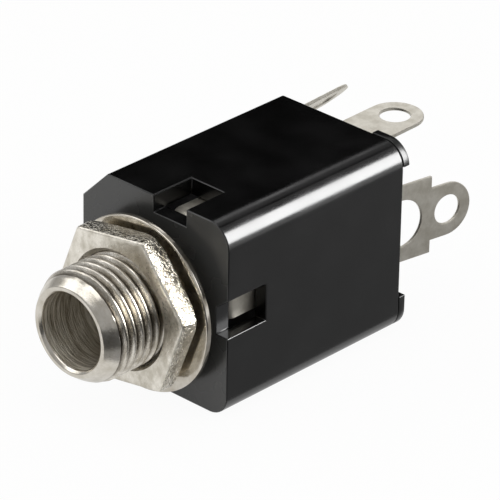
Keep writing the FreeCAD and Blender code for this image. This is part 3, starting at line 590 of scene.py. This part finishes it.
def soften(node_name, piece_name, body, material, edge_mm):
    """A copy of a solid with its doubled points merged, its flat faces joined and its sharp edges
    rounded to a radius of edge_mm."""
    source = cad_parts[node_name]
    mesh = source.data.copy()
    mesh.name = piece_name
    shape = bmesh.new()
    shape.from_mesh(mesh)
    area = sum(face.calc_area() for face in shape.faces)
    bmesh.ops.remove_doubles(shape, verts=shape.verts, dist=MERGE_WITHIN)
    bmesh.ops.dissolve_limit(shape, angle_limit=math.radians(FLAT_WITHIN), verts=shape.verts,
                             edges=shape.edges)
    kept = sum(face.calc_area() for face in shape.faces) / area
    print(piece_name, "keeps", round(100 * kept, 2), "% of its area in", len(shape.faces), "faces")
    shape.to_mesh(mesh)
    shape.free()
    mesh.materials.clear()
    mesh.materials.append(material)
    mesh.polygons.foreach_set("use_smooth", np.ones(len(mesh.polygons), bool))
    piece = bpy.data.objects.new(piece_name, mesh)
    bpy.context.scene.collection.objects.link(piece)
    bevel = piece.modifiers.new("soft_edges", "BEVEL")
    bevel.width = edge_mm * MM
    bevel.segments = 2
    bevel.limit_method = "ANGLE"
    bevel.angle_limit = math.radians(SHARP_FROM)
    bevel.use_clamp_overlap = False
    weighted = piece.modifiers.new("flat_faces_stay_flat", "WEIGHTED_NORMAL")
    weighted.mode = "FACE_AREA"
    weighted.weight = 100
    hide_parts(node_name)
    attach(piece, body)
    return piece


def housing_finish(centre):
    """Slot 1 for the faces of the hollow inside, 2 for the front wall's outer face."""
    inside = ((np.abs(centre[:, 0]) < HOLLOW_HALF_X) & (np.abs(centre[:, 2]) < HOLLOW_HALF_Z)
              & (centre[:, 1] > HOLLOW_FRONT) & (centre[:, 1] < HOLLOW_REAR))
    return inside + 2 * (centre[:, 1] < FRONT_FACE_WITHIN)


box = soften("housing", "moulded_housing", "socket", housing_plastic, HOUSING_EDGE)
box.data.materials.append(core_plastic)
box.data.materials.append(front_sheen_plastic)
set_face_material(box, housing_finish)
lid = soften("rear_cover", "moulded_cover", "socket", cover_plastic, COVER_EDGE)
springs = [soften(contact, contact.replace("contact", "spring"), "socket", tinned_strip,
                  STRIP_EDGE) for contact in ("tip_contact", "sleeve_contact", "switch_contact")]
print("softened pieces ride on the socket")

# %% [markdown]
# ## Studio
#
# The socket lies on a white sweep under soft boxes. Glossy black things are lit by what they
# mirror, so cards stand where only reflections see them. A bright one at the back right makes the
# white stripe along the housing's upper edge, and two dimmer ones make the thin line and the grey
# band above it. A flag over the roof's edge keeps the stripe's light off the roof. A black card
# behind on the left keeps the roof dark, a grey one lies on the right and calms the long side, and
# a dark one in front gives the nose's bevel its streak. Dull tin needs a card of its own, so that
# one lights the contacts only.

# %% Sweep and cards
FLOOR_LEVEL = -8.4
FLOOR_SIZE = 4000
FLOOR_GAP, CARD_LIFT = 0.01, 0.02    # sheets lie this far below and above the socket's underside
CAMERA_SEES_WHITE, MIRRORS_SEE_WHITE = 0.95, 0.65    # shares of pure white mixed into the paper


def stage_sheet(name, material, centre, width, height, facing):
    """A flat sheet that isn't part of the object: centre in mm, facing a direction."""
    axis = Vector(facing).normalized()
    turn = axis.to_track_quat("Z", "Y").to_matrix()
    corners = [(-1, -1), (1, -1), (1, 1), (-1, 1)]
    points = [Vector(centre) + turn @ Vector((x * width / 2, y * height / 2, 0))
              for x, y in corners]
    mesh = bpy.data.meshes.new(name)
    mesh.from_pydata([point * MM for point in points], [], [(0, 1, 2, 3)])
    mesh.materials.append(material)
    sheet = bpy.data.objects.new(name, mesh)
    bpy.context.scene.collection.objects.link(sheet)
    return sheet


def plain_emitter(name, code, strength):
    """A material that shows one colour whatever the lamps do."""
    material = empty_material(name)
    glow = node(material, "ShaderNodeEmission", Color=colour(code), Strength=strength)
    node(material, "ShaderNodeOutputMaterial", Surface=glow.outputs["Emission"])
    return material


def card(name, code, strength, centre, width, height, facing):
    """A card that only reflections see, so that it gives no shadow and no light on matt things."""
    sheet = stage_sheet(name, plain_emitter(name, code, strength), centre, width, height, facing)
    sheet.visible_camera = sheet.visible_diffuse = sheet.visible_shadow = False
    return sheet


def only_light(sheet, pieces):
    """Let a card light some pieces only, as a flag on a stand would."""
    receivers = bpy.data.collections.new(sheet.name + "_lights")
    for piece in pieces:
        receivers.objects.link(piece)
    sheet.light_linking.receiver_collection = receivers


def sweep_material():
    """White paper. What the camera and reflections see is white, mixed with a little of the paper's
    real shading, so that the socket keeps a faint shadow."""
    material = empty_material("white_paper_sweep")
    paper = node(material, "ShaderNodeBsdfDiffuse", Color=colour("#f4f4f2"))
    white = node(material, "ShaderNodeEmission", Color=colour("#ffffff"), Strength=1.0)
    path = node(material, "ShaderNodeLightPath")
    mirrored = node(material, "ShaderNodeMath", {"operation": "MAXIMUM"},
                    i0=path.outputs["Is Glossy Ray"], i1=path.outputs["Is Transmission Ray"])
    partly = node(material, "ShaderNodeMath", {"operation": "MULTIPLY"},
                  i0=mirrored.outputs["Value"], i1=MIRRORS_SEE_WHITE)
    most = node(material, "ShaderNodeMath", {"operation": "MULTIPLY"},
                i0=path.outputs["Is Camera Ray"], i1=CAMERA_SEES_WHITE)
    share = node(material, "ShaderNodeMath", {"operation": "MAXIMUM"}, i0=partly.outputs["Value"],
                 i1=most.outputs["Value"])
    mixed = node(material, "ShaderNodeMixShader", Fac=share.outputs["Value"],
                 i1=paper.outputs["BSDF"], i2=white.outputs["Emission"])
    node(material, "ShaderNodeOutputMaterial", Surface=mixed.outputs["Shader"])
    return material


stage_sheet("floor", sweep_material(), (0, 0, FLOOR_LEVEL - FLOOR_GAP), FLOOR_SIZE, FLOOR_SIZE,
            (0, 0, 1))
CARDS = (
    # name, colour, strength, centre in mm, width and height in mm, direction it faces
    ("black_card", "#000000", 0.0, (-115, 130, 72), 140, 130, (0.602, -0.647, -0.40)),
    ("grey_card", "#9a9a9a", 1.0, (28, 24, FLOOR_LEVEL + CARD_LIFT), 38, 90, (0, 0, 1)),
    ("front_card", "#4e4e4e", 1.0, (35.5, -26.5, 0.4), 60, 48, (-0.307, 0.181, 0.933)),
    ("roof_flag", "#000000", 0.0, (7.1, 17, 17.72), 36, 18, (-1, 0, 0)),
    ("line_card", "#ffffff", 2.0, (-65, 139, 143), 70, 18, (0.359, -0.647, -0.672)),
    ("band_card", "#a0a0a0", 1.0, (23, 107, 121), 120, 70, (-0.104, -0.647, -0.755)),
    ("stripe_card", "#ffffff", 16.5, (57.3, 65, 40.8), 90, 63.6, (-0.992, 0, 0.123)),
    ("lug_card", "#ffffff", 1.1, (-28.5, 58, 30.4), 60, 40, (0.602, -0.647, -0.468)),
)
cards = {name: card(name, *rest) for name, *rest in CARDS}
only_light(cards["stripe_card"], (box, lid, nose, nut))
only_light(cards["lug_card"], springs)
print("sweep at", FLOOR_LEVEL, "mm")

# %% [markdown]
# Four large soft boxes give the light, and the world around them is grey, which fills the shadows
# and the reflections. The camera sees white there, as it does on the sweep.

# %% Lamps
SOCKET_MIDDLE = Vector((0, 8, 0))    # mm


def soft_box(name, direction, distance, width, height, radiance):
    """A rectangular lamp that looks at the socket's middle. Its power is its radiance times pi
    times its area."""
    towards = Vector(direction).normalized()
    lamp = bpy.data.lights.new(name, "AREA")
    lamp.shape = "RECTANGLE"
    lamp.size, lamp.size_y = width * MM, height * MM
    lamp.energy = radiance * math.pi * lamp.size * lamp.size_y
    holder = bpy.data.objects.new(name, lamp)
    holder.location = (SOCKET_MIDDLE + towards * distance) * MM
    holder.rotation_euler = towards.to_track_quat("Z", "Y").to_euler()
    bpy.context.scene.collection.objects.link(holder)


SOFT_BOXES = (
    # name, direction it stands in, distance, width and height in mm, radiance
    ("rear_box", (0.05, 0.62, 0.78), 350, 260, 120, 0.6),
    ("right_box", (0.80, 0.35, 0.48), 300, 180, 130, 3.0),
    ("front_left_box", (-0.75, -0.45, 0.75), 400, 260, 260, 1.6),
    ("top_box", (0.0, -0.25, 1.0), 420, 260, 260, 1.8),
)
for settings in SOFT_BOXES:
    soft_box(*settings)

world = bpy.data.worlds.new("studio")
world.use_nodes = True
world.node_tree.nodes.clear()
path = node(world, "ShaderNodeLightPath")
shade = node(world, "ShaderNodeMix", {"data_type": "RGBA"}, Factor=path.outputs["Is Camera Ray"],
             A=colour("#b0b0b0"), B=colour("#ffffff"))
surroundings = node(world, "ShaderNodeBackground", Color=shade.outputs["Result"], Strength=1.0)
node(world, "ShaderNodeOutputWorld", Surface=surroundings.outputs["Background"])
bpy.context.scene.world = world
bpy.context.scene.view_settings.view_transform = "Standard"
print("lights:", [lamp.name for lamp in bpy.data.lights])
